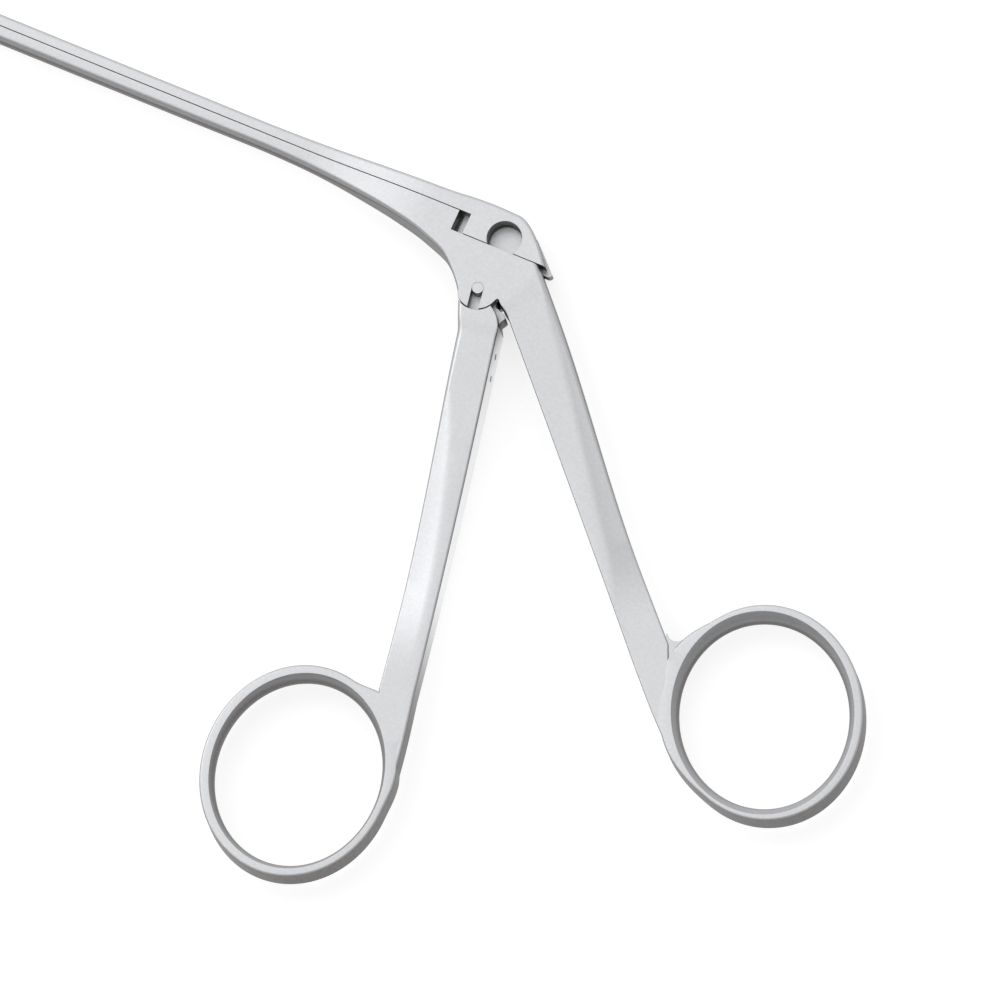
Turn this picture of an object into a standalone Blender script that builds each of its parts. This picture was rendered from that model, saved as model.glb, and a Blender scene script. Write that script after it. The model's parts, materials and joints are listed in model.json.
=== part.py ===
"""Ring-handled specimen forceps: a fixed forging, a sliding upper shaft, a moving front handle
and an opening cup jaw.  It lies on its side, with its thickness along +Z.

The plan is drawn from the handle pivot: +X runs back along the shaft, away from the jaws, and +Y
runs up, away from the handles.  The empty called datum carries every piece, and puts the frame's
origin on the joint block's flat underside, straight above the pivot.
"""
import math

import bmesh
import bpy
import numpy as np
from mathutils import Matrix, Vector
from mathutils.geometry import convex_hull_2d

MM = 0.001

# Thicknesses, along Z
BLOCK_THICK = 6.0 * MM
SHAFT_WIDTH = 3.2 * MM
RING_WIDTH = 4.0 * MM
HANDLE_END_THICK = 3.9 * MM
TONGUE_THICK = 3.0 * MM
WEB_THICK = 1.5 * MM
RUN_GAP = 0.2 * MM
PIN_GAP = 0.12 * MM

# Heights: the pivot below the frame's origin, the seam above the pivot, and the rest from the seam
PIVOT_DROP = 3.4 * MM
SEAM_HEIGHT = 8.53 * MM
UPPER_BAR = 1.45 * MM
LOWER_BAR = 1.86 * MM
BLOCK_RISE = 2.4 * MM
SEAT_DROP = 2.73 * MM
RAIL_DEPTH = 0.65 * MM
KNUCKLE_DROP = 1.26 * MM
JAW_PIVOT_DROP = 0.93 * MM
JAW_LINE_DROP = 0.18 * MM
FLARE_DEPTH = 3.12 * MM

# Shaft: from the handle pivot to the jaw pivot, then the jaws past it and the key behind it
SHAFT_LENGTH = 108.5 * MM
JAW_LENGTH = 10.2 * MM
JAW_ROOT = 3.0 * MM
KEY_BEHIND = 10.5 * MM

# Places along the shaft, from the handle pivot
FLARE_START_X = -33.0 * MM
FLARE_END_X = -8.6 * MM
WIDEN_START_X = -28.0 * MM
WIDEN_END_X = -10.0 * MM
STEP_X = -6.4 * MM
STROKE_GAP = 1.6 * MM
RAIL_FRONT_X = -7.0 * MM
TOP_BACK_X = 1.15 * MM
LUG_BACK_X = 7.65 * MM

# Handle pivot, knuckle and tongue
PIN_RADIUS = 0.65 * MM
BOSS_RADIUS = 2.78 * MM
TONGUE_RADIUS = 2.55 * MM
HEEL_REACH = 5.05 * MM
KNUCKLE_X = 0.46 * MM
WINDOW_RADIUS = 2.29 * MM
NECK_WIDTH = 2.4 * MM
NECK_ROOM = 0.6 * MM
SLOT_LEAN = math.radians(10.0)
HANDLE_SWING = math.radians(10.5)

# Handles: direction in the plan, inner edge's distance from the line through the pivot, and widths
REAR_ANGLE = math.radians(-46.4)
REAR_INNER = 2.3 * MM
REAR_TOP_WIDTH = 6.0 * MM
REAR_MID_WIDTH = 4.8 * MM
REAR_END_WIDTH = 5.05 * MM
REAR_LENGTH = 53.0 * MM
REAR_DRAW_IN = -0.15 * MM
FRONT_ANGLE = math.radians(-77.65)
FRONT_INNER = 3.63 * MM
FRONT_TOP_WIDTH = 5.1 * MM
FRONT_MID_WIDTH = 4.55 * MM
FRONT_END_WIDTH = 4.6 * MM
FRONT_LENGTH = 54.0 * MM
FRONT_DRAW_IN = 0.7 * MM
FACET_SLOPE = math.tan(math.radians(12.0))
INNER_ROUND = 0.2 * MM

# Finger rings: the centre past the handle's end and aside from its line, then reaches along the
# ring's long and short axes, the flat band at its ends and sides, and the swell of its inner wall.
# A join holds the turns in degrees, from the ring's lower end, between which it meets its handle
REAR_RING_PAST = 13.03 * MM
REAR_RING_ASIDE = 15.83 * MM
REAR_RING_ANGLE = math.radians(-58.5)
REAR_RING_LONG = 14.35 * MM
REAR_RING_SHORT = 12.55 * MM
REAR_RING_BAND = (0.85 * MM, 0.8 * MM)
REAR_RING_BULGE = (1.2 * MM, 0.85 * MM)
REAR_RING_SHIFT = 0.33 * MM
REAR_RING_JOIN = (45, 90)
REAR_NOTCH_FILL = 1.3 * MM
FRONT_RING_PAST = 12.32 * MM
FRONT_RING_ASIDE = -9.91 * MM
FRONT_RING_ANGLE = math.radians(-80.0)
FRONT_RING_LONG = 14.1 * MM
FRONT_RING_SHORT = 12.33 * MM
FRONT_RING_BAND = (1.1 * MM, 1.1 * MM)
FRONT_RING_BULGE = (0.8 * MM, 0.55 * MM)
FRONT_RING_SHIFT = 0.13 * MM
FRONT_RING_JOIN = (78, 100)
FRONT_NOTCH_FILL = 2.55 * MM
RING_EDGE = 0.25 * MM
RING_STEPS = 56
RING_SHARES = (0.25, 0.5, 0.7, 0.85, 0.97)
TAIL_DRAW_IN = 0.4 * MM
TAIL_TAPER = 0.33

# Jaws and their linkage
JAW_ARM = 1.75 * MM
JAW_GAP = 0.2 * MM
JAW_TAPER = 5.2 * MM
JAW_PIN_RADIUS = 0.4 * MM
LINK_PIN_RADIUS = 0.3 * MM
HEEL_THICK = 1.2 * MM
HEEL_RADIUS = 0.8 * MM
CUP_WALL = 0.45 * MM
SLIDER_NOSE = 1.1 * MM
FORK_DEPTH = 2.0 * MM

# Key that keeps the slider down on the lower bar
KEY_LENGTH = 6.0 * MM
KEY_NECK = 1.0 * MM
KEY_HEAD = 1.8 * MM
KEY_NECK_DEPTH = 0.75 * MM
KEY_HEAD_DEPTH = 0.35 * MM
KEY_GAP = 0.12 * MM

# Worked out from the sizes above
MID_Z = BLOCK_THICK / 2
FULL_HALF = BLOCK_THICK / 2
JAW_PIVOT_X = -SHAFT_LENGTH
JAW_TIP_X = JAW_PIVOT_X - JAW_LENGTH
JAW_ROOT_X = JAW_PIVOT_X - JAW_ROOT
KEY_X = JAW_PIVOT_X + KEY_BEHIND
SEAT_HEIGHT = SEAM_HEIGHT - SEAT_DROP
BAR_BOTTOM = SEAM_HEIGHT - LOWER_BAR
BAR_TOP = SEAM_HEIGHT + UPPER_BAR
BLOCK_TOP = SEAM_HEIGHT + BLOCK_RISE
RAIL_BOTTOM = SEAT_HEIGHT - RAIL_DEPTH
BODY_TOP = SEAM_HEIGHT - RUN_GAP / 2
SLIDER_BOTTOM = SEAM_HEIGHT + RUN_GAP / 2
BODY_SEAT = SEAT_HEIGHT - RUN_GAP / 2
SLIDER_SEAT = SEAT_HEIGHT + RUN_GAP / 2
KNUCKLE = (KNUCKLE_X, SEAM_HEIGHT - KNUCKLE_DROP)
LEAN = math.atan2(*KNUCKLE)
STROKE = math.hypot(*KNUCKLE) * (math.sin(LEAN) - math.sin(LEAN - HANDLE_SWING))
JAW_PIVOT = (JAW_PIVOT_X, SEAM_HEIGHT - JAW_PIVOT_DROP)
JAW_LINE_Y = SEAM_HEIGHT - JAW_LINE_DROP
JAW_OPEN = 2 * math.asin(STROKE / 2 / JAW_ARM)
LINK_RISE = JAW_ARM * (1 + math.cos(JAW_OPEN / 2)) / 2
LINK = (JAW_PIVOT_X + STROKE / 2, JAW_PIVOT[1] + LINK_RISE)
SLIDER_FRONT_X = LINK[0] - SLIDER_NOSE
CUP_DEPTH = JAW_LINE_Y - BAR_BOTTOM
TRIM = 1.0 * MM
FAR = 0.3


# Scene and materials

def clear_scene():
    for obj in list(bpy.data.objects):
        bpy.data.objects.remove(obj, do_unlink=True)


def new_collection(name):
    collection = bpy.data.collections.new(name)
    bpy.context.scene.collection.children.link(collection)
    return collection


def steel(name, colour, roughness):
    """Satin stainless steel."""
    material = bpy.data.materials.new(name)
    material.use_nodes = True
    shader = material.node_tree.nodes["Principled BSDF"]
    shader.inputs["Base Color"].default_value = (*colour, 1.0)
    shader.inputs["Metallic"].default_value = 1.0
    shader.inputs["Roughness"].default_value = roughness
    return material


# Curves

def ramp(x, start, end):
    """Smooth step from 0 at start to 1 at end."""
    t = min(max((x - start) / (end - start), 0.0), 1.0)
    return t * t * (3 - 2 * t)


def smooth(x, knots, values):
    """Cubic curve through the knots and their values, with the slopes of their neighbours."""
    knots = np.asarray(knots, float)
    values = np.asarray(values, float)
    slopes = np.gradient(values, knots)
    i = int(np.clip(np.searchsorted(knots, x) - 1, 0, len(knots) - 2))
    width = knots[i + 1] - knots[i]
    t = min(max((x - knots[i]) / width, 0.0), 1.0)
    rise = values[i] * (1 + 2 * t) * (1 - t) ** 2 + values[i + 1] * t * t * (3 - 2 * t)
    turn = slopes[i] * t * (1 - t) ** 2 + slopes[i + 1] * t * t * (t - 1)
    return rise + width * turn


def along(angle, distance, offset):
    """Plan point at a distance down a handle's line and an offset square to it, rear side positive."""
    direction = np.array((math.cos(angle), math.sin(angle)))
    side = np.array((-math.sin(angle), math.cos(angle)))
    return distance * direction + offset * side


def arc_points(centre, radius, start, end, count):
    """Plan points on an arc between two angles in degrees."""
    points = []
    for k in range(count + 1):
        turn = math.radians(start + (end - start) * k / count)
        points.append((centre[0] + radius * math.cos(turn), centre[1] + radius * math.sin(turn)))
    return points


def hull(circles, count=20):
    """Plan outline drawn tight round circles, each given as its centre and radius."""
    points = []
    for centre, radius in circles:
        points += arc_points(centre, radius, 0, 360 * (count - 1) / count, count - 1)
    return [points[i] for i in convex_hull_2d([Vector(point) for point in points])]


def mid(thickness):
    """Low and high Z of a layer centred in the block's thickness."""
    return MID_Z - thickness / 2, MID_Z + thickness / 2


# Solids

def solid(name, mesh):
    """Object for a closed mesh, with its faces pointing out."""
    work = bmesh.new()
    work.from_mesh(mesh)
    bmesh.ops.recalc_face_normals(work, faces=work.faces)
    work.to_mesh(mesh)
    work.free()
    obj = bpy.data.objects.new(name, mesh)
    obj.hide_render = True
    obj.display_type = 'WIRE'
    cutters.objects.link(obj)
    return obj


def section(outer, inner, half, facet, r_out, r_in, arc=3):
    """Closed outline of one station, in the upright plane through two plan points.

    The face is flat, at half from the middle, between the inner edge and the facet's ridge.  From
    the ridge the facet falls to the outer edge.  r_out and r_in round the two edges: each holds a
    reach along the station and a reach along Z.
    """
    outer = np.asarray(outer, float)
    inner = np.asarray(inner, float)
    length = np.linalg.norm(inner - outer)
    axis = (inner - outer) / length
    drop = FACET_SLOPE * max(facet - r_out[0], 0.0)
    turns = [math.pi / 2 * k / arc for k in range(arc + 1)]
    upper = []
    for turn in turns:
        z = half - drop - r_out[1] * (1 - math.sin(turn))
        upper.append((r_out[0] * (1 - math.cos(turn)), z))
    upper.append((max(facet, r_out[0] + INNER_ROUND), half))
    for turn in turns:
        z = half - r_in[1] * (1 - math.cos(turn))
        upper.append((length - r_in[0] * (1 - math.sin(turn)), z))
    loop = upper + [(u, -z) for u, z in reversed(upper)]
    return [Vector((*(outer + u * axis), MID_Z + z)) for u, z in loop]


def loft(name, sections, closed=False):
    """Solid through sections that have the same number of points."""
    mesh = bpy.data.meshes.new(name)
    count = len(sections[0])
    rows = len(sections)
    faces = []
    for i in range(rows if closed else rows - 1):
        j = (i + 1) % rows
        for k in range(count):
            m = (k + 1) % count
            faces.append((i * count + k, i * count + m, j * count + m, j * count + k))
    if not closed:
        faces.append(tuple(range(count - 1, -1, -1)))
        faces.append(tuple(range((rows - 1) * count, rows * count)))
    mesh.from_pydata([point for outline in sections for point in outline], [], faces)
    return solid(name, mesh)


def plate(name, outline, layer):
    """Flat outline in the plan, made solid between two heights."""
    mesh = bpy.data.meshes.new(name)
    work = bmesh.new()
    face = work.faces.new([work.verts.new((x, y, layer[0])) for x, y in outline])
    grown = bmesh.ops.extrude_face_region(work, geom=[face])
    lifted = [item for item in grown["geom"] if isinstance(item, bmesh.types.BMVert)]
    bmesh.ops.translate(work, verts=lifted, vec=(0.0, 0.0, layer[1] - layer[0]))
    work.to_mesh(mesh)
    work.free()
    return solid(name, mesh)


def box(name, x_span, y_span, z_span):
    low = Vector((x_span[0], y_span[0], z_span[0]))
    high = Vector((x_span[1], y_span[1], z_span[1]))
    mesh = bpy.data.meshes.new(name)
    work = bmesh.new()
    bmesh.ops.create_cube(work, size=1.0)
    bmesh.ops.scale(work, verts=work.verts, vec=high - low)
    bmesh.ops.translate(work, verts=work.verts, vec=(low + high) / 2)
    work.to_mesh(mesh)
    work.free()
    return solid(name, mesh)


def drum(name, centre, radius, layer, segments=32):
    """Upright cylinder between two heights."""
    mesh = bpy.data.meshes.new(name)
    work = bmesh.new()
    place = Matrix.Translation((centre[0], centre[1], (layer[0] + layer[1]) / 2))
    bmesh.ops.create_cone(work, cap_ends=True, segments=segments, radius1=radius, radius2=radius,
                          depth=layer[1] - layer[0], matrix=place)
    work.to_mesh(mesh)
    work.free()
    return solid(name, mesh)


def bowl(name):
    """Egg shape that hollows a cup jaw, with its middle on the line where the jaws meet."""
    front = JAW_TIP_X + CUP_WALL
    back = JAW_ROOT_X - CUP_WALL
    radii = ((back - front) / 2, CUP_DEPTH - CUP_WALL, SHAFT_WIDTH / 2 - CUP_WALL)
    mesh = bpy.data.meshes.new(name)
    work = bmesh.new()
    place = Matrix.Translation(((front + back) / 2, JAW_LINE_Y, MID_Z)) @ Matrix.Diagonal((*radii, 1.0))
    bmesh.ops.create_uvsphere(work, u_segments=24, v_segments=12, radius=1.0, matrix=place)
    work.to_mesh(mesh)
    work.free()
    return solid(name, mesh)


def combine(base, operation, tools):
    """Join the tools to the base, or cut them from it."""
    for tool in tools:
        modifier = base.modifiers.new(tool.name, 'BOOLEAN')
        modifier.operation = operation
        modifier.object = tool
    bpy.context.view_layer.update()
    graph = bpy.context.evaluated_depsgraph_get()
    mesh = bpy.data.meshes.new_from_object(base.evaluated_get(graph))
    base.modifiers.clear()
    base.data = mesh
    for tool in tools:
        bpy.data.objects.remove(tool, do_unlink=True)


def finish(obj, name, colour, roughness=0.4, origin=(0.0, 0.0), turn=0.0):
    """Name a finished piece, give it its steel, and put its origin on a plan point."""
    obj.data.transform(Matrix.Translation((-origin[0], -origin[1], 0.0)))
    cutters.objects.unlink(obj)
    parts.objects.link(obj)
    obj.name = name
    obj.data.name = name
    obj.hide_render = False
    obj.display_type = 'TEXTURED'
    obj.data.materials.clear()
    obj.data.materials.append(steel(name + "_steel", colour, roughness))
    obj.data.shade_smooth()
    obj.data.set_sharp_from_angle(angle=math.radians(30.0))
    obj.parent = datum
    obj.location = (origin[0], origin[1], 0.0)
    obj.rotation_euler = (0.0, 0.0, turn)


# Finger rings

def ring_flare(angle, inner_edge, aside, ring_angle, reach, side):
    """How far the handle's straight inner edge runs outside the ring's own ellipse."""
    lean = ring_angle - angle
    return side * (inner_edge - aside) - math.hypot(reach[0] * math.sin(lean), reach[1] * math.cos(lean))


def ring_swell(turn, flare, join, fill):
    """How far the band stands out past its ellipse, at a turn in degrees from the ring's lower end."""
    beside = flare * ramp(turn, *join) * (1 - ramp(turn, 95, 135))
    notch = fill * ramp(turn, 110, 128) * (1 - ramp(turn, 128, 160))
    return beside + notch


def ring(name, centre, angle, reach, band, bulge, shift, side, flare, join, fill):
    """Finger ring: a flat-faced band with a full inner wall, carried round an ellipse.

    reach, band and bulge each hold a value for the ring's ends and one for its sides.  The opening
    sits a little towards the handle, by shift.  There the band swells out to the handle's inner
    edge, by flare over the join, and further up it fills the notch beside the handle, by fill.
    """
    long_axis = np.array((math.cos(angle), math.sin(angle)))
    short_axis = side * np.array((-math.sin(angle), math.cos(angle)))
    half = RING_WIDTH / 2
    inner_reach = (reach[0] - band[0], reach[1] - band[1])
    sections = []
    for k in range(RING_STEPS):
        phi = 2 * math.pi * k / RING_STEPS
        ends, sides = math.cos(phi), math.sin(phi)
        normal = reach[1] * ends * long_axis + reach[0] * sides * short_axis
        normal = normal / np.linalg.norm(normal)
        swell = ring_swell(math.degrees(phi), flare, join, fill)
        outer = centre + reach[0] * ends * long_axis + reach[1] * sides * short_axis + swell * normal
        inner = centre + shift * short_axis
        inner = inner + inner_reach[0] * ends * long_axis + inner_reach[1] * sides * short_axis
        full = bulge[0] + (bulge[1] - bulge[0]) * sides ** 2
        profile = [(outer, -half + RING_EDGE), (outer - RING_EDGE * normal, -half), (inner, -half)]
        for t in (-0.6, 0.0, 0.6):
            profile.append((inner - full * (1 - t * t) * normal, t * half))
        profile += [(inner, half), (outer - RING_EDGE * normal, half), (outer, half - RING_EDGE)]
        sections.append([Vector((*point, MID_Z + z)) for point, z in profile])
    return loft(name, sections, closed=True)


# Handles

def handle_sections(angle, inner_edge, draw_in, widths, length, out, facets, reach):
    """Stations down a handle, from below its top to where it sinks into its ring.

    The inner edge drifts by draw_in towards the ring.  widths holds the widths at the top, the
    middle and the ring.  facets holds places down the handle, as shares of its length, and the
    facet's share of the width at each.
    """
    sections = []
    for distance in reach:
        share = min(distance / length, 1.0)
        past = max(distance - length, 0.0)
        tail = past / (reach[-1] - length)
        width = smooth(share, (0.0, 0.12, 0.75, 1.0), (widths[0], widths[0], widths[1], widths[2]))
        width -= TAIL_TAPER * past
        facet = min(width * smooth(share, *facets), width - 2 * INNER_ROUND)
        rounding = smooth(share, (0.0, 0.5, 1.0), (0.75 * MM, 0.4 * MM, 0.2 * MM))
        half = FULL_HALF + (HANDLE_END_THICK / 2 - FULL_HALF) * share
        edge = inner_edge + out * (draw_in * share ** 3 + TAIL_DRAW_IN * tail ** 3)
        inner = along(angle, distance, edge)
        outer = along(angle, distance, edge + out * width)
        edges = ((rounding, rounding), (INNER_ROUND, INNER_ROUND))
        sections.append(section(outer, inner, half, facet, *edges))
    return sections


# Fixed body

def shaft_half(x):
    """Half of the shaft's width: slim along the bars, full at the joint block."""
    return SHAFT_WIDTH / 2 + (BLOCK_THICK - SHAFT_WIDTH) / 2 * ramp(x, WIDEN_START_X, WIDEN_END_X)


def flare_bottom(x):
    """Underside of the lower bar, which swells down to the joint block."""
    share = (x - FLARE_START_X) / (FLARE_END_X - FLARE_START_X)
    places = (0.0, 0.295, 0.537, 0.775, 0.914, 1.0)
    drops = (0.0, 0.106, 0.285, 0.545, 0.782, 1.0)
    return BAR_BOTTOM - FLARE_DEPTH * smooth(share, places, drops)


def jaw_share(x):
    """Share of the jaw's full section at a place along it: 1 behind its taper, 0 at its tip."""
    t = min(max((JAW_TIP_X + JAW_TAPER - x) / JAW_TAPER, 0.0), 1.0)
    return math.sqrt(1 - t * t)


def jaw_places():
    """Places along the tapered jaw, closer together towards the tip."""
    return [JAW_TIP_X + 0.08 * MM + t * t * (JAW_TAPER - 0.08 * MM) for t in np.linspace(0.0, 1.0, 8)]


def lower_bar_sections():
    """Stations back along the lower bar, from the fixed jaw's tip to the flare."""
    above = SEAM_HEIGHT + TRIM
    hidden = (INNER_ROUND, INNER_ROUND)
    sections = []
    for x in jaw_places():
        share = jaw_share(x)
        half = SHAFT_WIDTH / 2 * share
        rounding = (0.9 * CUP_DEPTH * share, 0.85 * half)
        bottom = (x, JAW_LINE_Y - CUP_DEPTH * share)
        sections.append(section((x, above), bottom, half, 0.0, hidden, rounding))
    for x in [JAW_ROOT_X, (JAW_ROOT_X + FLARE_START_X) / 2, *np.linspace(FLARE_START_X, FLARE_END_X, 13)]:
        share = ramp(x, WIDEN_START_X, WIDEN_END_X)
        rounding = (0.85 * MM - 0.3 * MM * share, 1.3 * MM - 0.75 * MM * share)
        sections.append(section((x, above), (x, flare_bottom(x)), shaft_half(x), 0.0, hidden, rounding))
    return sections


def block_sections():
    """Stations that fan round the joint block, from the flare past the boss to the rear handle."""
    soft = (0.55 * MM, 0.55 * MM)
    crisp = (0.12 * MM, 0.12 * MM)
    above = SEAM_HEIGHT + TRIM
    back = REAR_INNER + REAR_TOP_WIDTH
    stations = [((-7.0 * MM, above), (-6.13 * MM, 2.55 * MM), soft),
                ((-5.5 * MM, above), (-4.33 * MM, 1.05 * MM), soft),
                ((-4.2 * MM, above), (-3.0 * MM, -0.35 * MM), soft),
                ((-3.1 * MM, above), (-2.3 * MM, -1.3 * MM), soft)]
    boss = arc_points((0.0, 0.0), BOSS_RADIUS, 228, 334, 9)
    for top, point in zip(np.linspace(-2.3 * MM, 4.0 * MM, len(boss)), boss):
        stations.append(((top, above - 0.35 * (top + 2.3 * MM)), point, crisp))
    stations.append((along(REAR_ANGLE, -1.6 * MM, back), (2.85 * MM, -0.45 * MM), crisp))
    stations.append((along(REAR_ANGLE, 0.8 * MM, back), along(REAR_ANGLE, 3.2 * MM, 2.0 * MM), crisp))
    edge = (0.75 * MM, 0.75 * MM)
    return [section(outer, inner, FULL_HALF, 0.0, edge, rounding) for outer, inner, rounding in stations]


def rear_handle_sections():
    places = [5.0 * MM, 8.0 * MM, *np.linspace(12.0 * MM, REAR_LENGTH, 9)]
    places += [REAR_LENGTH + REAR_RING_PAST * share for share in RING_SHARES]
    widths = (REAR_TOP_WIDTH, REAR_MID_WIDTH, REAR_END_WIDTH)
    facets = ((0.0, 0.3, 0.7, 1.0), (0.13, 0.27, 0.62, 0.94))
    return handle_sections(REAR_ANGLE, REAR_INNER, REAR_DRAW_IN, widths, REAR_LENGTH, 1, facets, places)


def trunnion_slot(name, half_width):
    """Open slot in both cheeks, from the pivot down through the boss."""
    down = np.array((math.sin(SLOT_LEAN), -math.cos(SLOT_LEAN)))
    across = np.array((math.cos(SLOT_LEAN), math.sin(SLOT_LEAN)))
    foot = (BOSS_RADIUS + TRIM) * down
    corners = [-half_width * across, foot - half_width * across, foot + half_width * across,
               half_width * across]
    return plate(name, corners, (-TRIM, BLOCK_THICK + TRIM))


def body_cutters():
    through = (-TRIM, BLOCK_THICK + TRIM)
    pocket = mid(TONGUE_THICK + 2 * RUN_GAP)
    web = mid(WEB_THICK + 2 * RUN_GAP)
    key_top = SLIDER_BOTTOM - KEY_NECK_DEPTH + KEY_GAP
    key_floor = SLIDER_BOTTOM - KEY_NECK_DEPTH - KEY_HEAD_DEPTH - KEY_GAP
    key_front = KEY_X - STROKE - 2 * RUN_GAP
    key_back = KEY_X + KEY_LENGTH + RUN_GAP
    entry_back = key_back + KEY_LENGTH + RUN_GAP
    key_room = mid(KEY_HEAD + 2 * KEY_GAP)
    slot_floor = RAIL_BOTTOM - RUN_GAP
    pin_slot = PIN_RADIUS + RUN_GAP
    heel_room = mid(HEEL_THICK + 2 * RUN_GAP)
    fan = [(0.0, 0.0), *arc_points((0.0, 0.0), HEEL_REACH + RUN_GAP, -62, -6, 12)]
    return [
        box("cut_bar_top", (-FAR, FAR), (BODY_TOP, FAR), through),
        box("cut_seat", (STEP_X, FAR), (BODY_SEAT, FAR), through),
        box("cut_jaw_line", (-FAR, JAW_ROOT_X + 3 * RUN_GAP), (JAW_LINE_Y - JAW_GAP / 2, FAR), through),
        box("cut_jaw_fork", (JAW_ROOT_X, JAW_PIVOT_X + FORK_DEPTH), (0.0, FAR), heel_room),
        drum("cut_jaw_pin", JAW_PIVOT, JAW_PIN_RADIUS + PIN_GAP, through, 20),
        bowl("cut_lower_cup"),
        box("cut_key_neck", (key_front, entry_back), (key_floor, FAR), mid(KEY_NECK + 2 * KEY_GAP)),
        box("cut_key_head", (key_front, entry_back), (key_floor, key_top), key_room),
        box("cut_key_entry", (key_back, entry_back), (key_floor, FAR), key_room),
        box("cut_rail_slot", (RAIL_FRONT_X - STROKE - RUN_GAP, FAR), (slot_floor, FAR), web),
        box("cut_neck_slot", (KNUCKLE_X - STROKE - NECK_WIDTH, KNUCKLE_X + NECK_WIDTH), (0.0, FAR), web),
        drum("cut_tongue_pocket", (0.0, 0.0), TONGUE_RADIUS + 2 * RUN_GAP, pocket),
        plate("cut_heel_pocket", fan, pocket),
        drum("cut_trunnion", (0.0, 0.0), pin_slot, through, 24),
        trunnion_slot("cut_trunnion_slot", pin_slot),
    ]


def build_body():
    """Lower bar, joint block, rear handle and rear ring, forged as one and then milled."""
    body = loft("body", lower_bar_sections() + block_sections() + rear_handle_sections())
    reach = (REAR_RING_LONG, REAR_RING_SHORT)
    edge = REAR_INNER + REAR_DRAW_IN
    flare = ring_flare(REAR_ANGLE, edge, REAR_RING_ASIDE, REAR_RING_ANGLE, reach, -1)
    centre = along(REAR_ANGLE, REAR_LENGTH + REAR_RING_PAST, REAR_RING_ASIDE)
    rear_ring = ring("rear_ring", centre, REAR_RING_ANGLE, reach, REAR_RING_BAND, REAR_RING_BULGE,
                     REAR_RING_SHIFT, -1, flare, REAR_RING_JOIN, REAR_NOTCH_FILL)
    combine(body, 'UNION', [rear_ring])
    combine(body, 'DIFFERENCE', body_cutters())
    finish(body, "fixed_body", (0.62, 0.63, 0.65))


# Slider

def slider_sections():
    """Stations back along the slider; the seam and the seat are milled into its underside later."""
    places = (0.0, 0.234, 0.41, 0.586, 0.732, 0.835, 0.917, 1.0)
    rises = (0.0, 0.18, 0.37, 0.52, 0.67, 0.95, 1.0, 0.87)
    below = RAIL_BOTTOM
    hidden = (INNER_ROUND, INNER_ROUND)
    edge = (0.45 * MM, 0.45 * MM)
    sections = []
    middle = (SLIDER_FRONT_X + FLARE_START_X) / 2
    for x in [SLIDER_FRONT_X, middle, *np.linspace(FLARE_START_X, TOP_BACK_X, 14)]:
        share = (x - FLARE_START_X) / (TOP_BACK_X - FLARE_START_X)
        top = BAR_TOP + (BLOCK_TOP - BAR_TOP) * smooth(share, places, rises)
        sections.append(section((x, top), (x, below), shaft_half(x), 0.0, edge, hidden))
    back = [(2.8 * MM, 0.9 * MM, 2.4 * MM),
            (4.19 * MM, 2.07 * MM, 3.5 * MM),
            (5.61 * MM, 3.57 * MM, 4.6 * MM),
            (6.75 * MM, 4.98 * MM, 5.6 * MM),
            (7.45 * MM, 5.73 * MM, 6.3 * MM)]
    for top, drop, foot in back:
        sections.append(section((top, BLOCK_TOP - drop), (foot, below - TRIM), FULL_HALF, 0.0, edge, hidden))
    return sections


def build_slider():
    """Upper bar and rear block, with the guide rail and its rounded lug in the middle layer."""
    slider = loft("slider", slider_sections())
    through = (-TRIM, BLOCK_THICK + TRIM)
    combine(slider, 'DIFFERENCE', [
        box("cut_seam", (-FAR, STEP_X + STROKE_GAP), (0.0, SLIDER_BOTTOM), through),
        box("cut_seat", (-FAR, FAR), (0.0, SLIDER_SEAT), through),
    ])
    web = mid(WEB_THICK)
    neck_side = NECK_WIDTH / 2 + NECK_ROOM
    rail_height = (RAIL_BOTTOM, BAR_TOP - RUN_GAP)
    front_rail = box("front_rail", (RAIL_FRONT_X, KNUCKLE_X - neck_side), rail_height, web)
    lug_top = BLOCK_TOP - 1.78 * MM
    lug = [(KNUCKLE_X + neck_side, RAIL_BOTTOM), (LUG_BACK_X - 0.5 * MM, RAIL_BOTTOM),
           (LUG_BACK_X - 0.12 * MM, RAIL_BOTTOM + 0.15 * MM), (LUG_BACK_X, RAIL_BOTTOM + 0.5 * MM),
           (4.0 * MM, lug_top), (KNUCKLE_X + neck_side, lug_top)]
    head_top = SLIDER_BOTTOM - KEY_NECK_DEPTH
    key_span = (KEY_X, KEY_X + KEY_LENGTH)
    neck_height = (head_top - KEY_HEAD_DEPTH / 2, SLIDER_BOTTOM + TRIM / 2)
    key_neck = box("key_neck", key_span, neck_height, mid(KEY_NECK))
    key_head = box("key_head", key_span, (head_top - KEY_HEAD_DEPTH, head_top), mid(KEY_HEAD))
    combine(slider, 'UNION', [front_rail, plate("rear_rail", lug, web), key_neck, key_head])
    fork = (SLIDER_FRONT_X - TRIM, LINK[0] + FORK_DEPTH)
    combine(slider, 'DIFFERENCE', [
        drum("cut_window", KNUCKLE, WINDOW_RADIUS, through, 48),
        box("cut_fork", fork, (0.0, FAR), mid(HEEL_THICK + 2 * RUN_GAP)),
        drum("cut_link_pin", LINK, LINK_PIN_RADIUS + PIN_GAP, through, 20),
    ])
    finish(slider, "slider", (0.63, 0.64, 0.66))


# Front handle

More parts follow.
